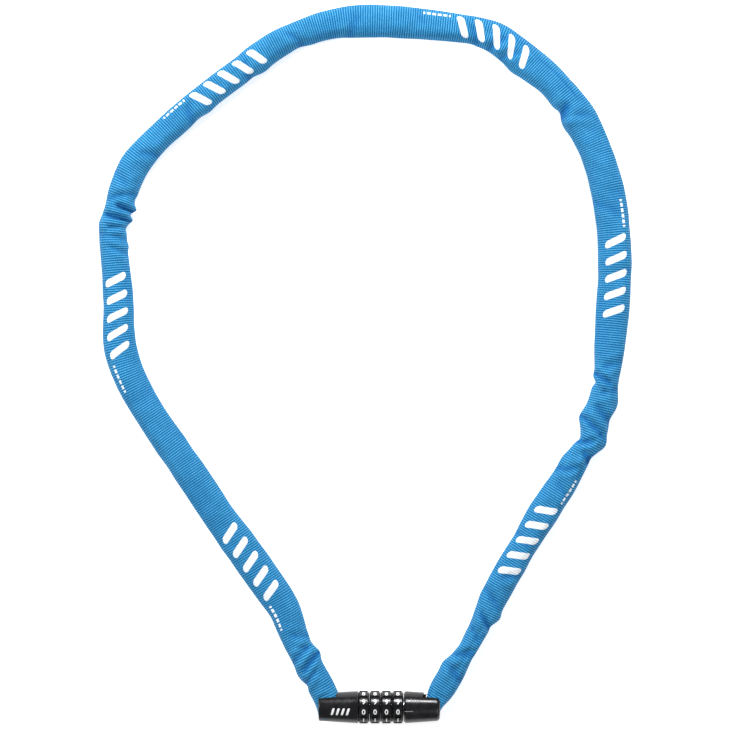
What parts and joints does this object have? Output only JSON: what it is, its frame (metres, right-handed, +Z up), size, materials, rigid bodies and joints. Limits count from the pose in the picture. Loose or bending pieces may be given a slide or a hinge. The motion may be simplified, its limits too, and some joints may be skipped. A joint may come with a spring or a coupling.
{
  "type": "chain lock",
  "caption": "Combination chain lock: barrel and plug with number wheels between tapered black caps, and a steel chain loop in a flat blue woven sleeve.",
  "frame": {"origin": "on the surface that the lock lies on, under the middle of the lock", "axes": "+X along the lock from the barrel cap to the plug cap, +Y from the lock into the chain loop, +Z up"},
  "size_m": [0.3567, 0.4755, 0.0214],
  "materials": {
    "cap_plastic": "black moulded ABS, satin",
    "wheel_plastic": "black moulded plastic, semi-gloss, white filled numerals",
    "cast_zinc": "as-cast zinc alloy, dull",
    "plated_steel": "zinc plated, satin",
    "spring_steel": "blued spring steel, satin",
    "white_nylon": "natural nylon",
    "disc_brass": "turned brass, satin",
    "chain_steel": "zinc plated welded chain",
    "sleeve_fabric": "bright blue polyester webbing tube, fine cross ribs, white printed marks"
  },
  "bodies": {
    "barrel": {"barrel_shell": "cap_plastic", "barrel_anchor": "cast_zinc", "barrel_rivet": "plated_steel", "barrel_tube": "plated_steel", "barrel_cross_pin": "plated_steel", "thrust_washer": "white_nylon", "detent_strip": "spring_steel", "retaining_ring": "spring_steel", "barrel_chain": "chain_steel", "barrel_sleeve": "sleeve_fabric"},
    "wheel_1": {"code_disc_1": "disc_brass", "number_wheel_1": "wheel_plastic"},
    "wheel_2": {"code_disc_2": "disc_brass", "number_wheel_2": "wheel_plastic"},
    "wheel_3": {"code_disc_3": "disc_brass", "number_wheel_3": "wheel_plastic"},
    "wheel_4": {"code_disc_4": "disc_brass", "number_wheel_4": "wheel_plastic"},
    "plug": {"plug_shell": "cap_plastic", "plug_anchor": "cast_zinc", "plug_rivet": "plated_steel", "locking_pin": "plated_steel", "plug_cross_pin": "plated_steel"},
    "plug_loop": {"plug_chain": "chain_steel", "plug_sleeve": "sleeve_fabric"}
  },
  "joints": [
    {"name": "wheel_1_turn", "type": "hinge", "parent": "barrel", "child": "wheel_1", "pos_m": [-0.01025, 0, 0.0107], "axis": [1, 0, 0], "continuous": true},
    {"name": "wheel_2_turn", "type": "hinge", "parent": "barrel", "child": "wheel_2", "pos_m": [-0.00275, 0, 0.0107], "axis": [1, 0, 0], "continuous": true},
    {"name": "wheel_3_turn", "type": "hinge", "parent": "barrel", "child": "wheel_3", "pos_m": [0.00475, 0, 0.0107], "axis": [1, 0, 0], "continuous": true},
    {"name": "wheel_4_turn", "type": "hinge", "parent": "barrel", "child": "wheel_4", "pos_m": [0.01225, 0, 0.0107], "axis": [1, 0, 0], "continuous": true},
    {"name": "plug_pull", "type": "slide", "parent": "barrel", "child": "plug", "axis": [1, 0, 0], "range_m": [0, 0.036]},
    {"name": "loop_spread", "type": "hinge", "parent": "barrel", "child": "plug_loop", "pos_m": [0.047, 0.44938, 0.006], "axis": [0, 0, 1], "range_deg": [0, 4.6]}
  ],
  "couplings": [
    {"joint": "loop_spread", "follows": "plug_pull", "rad_per_m": 2.2253}
  ]
}
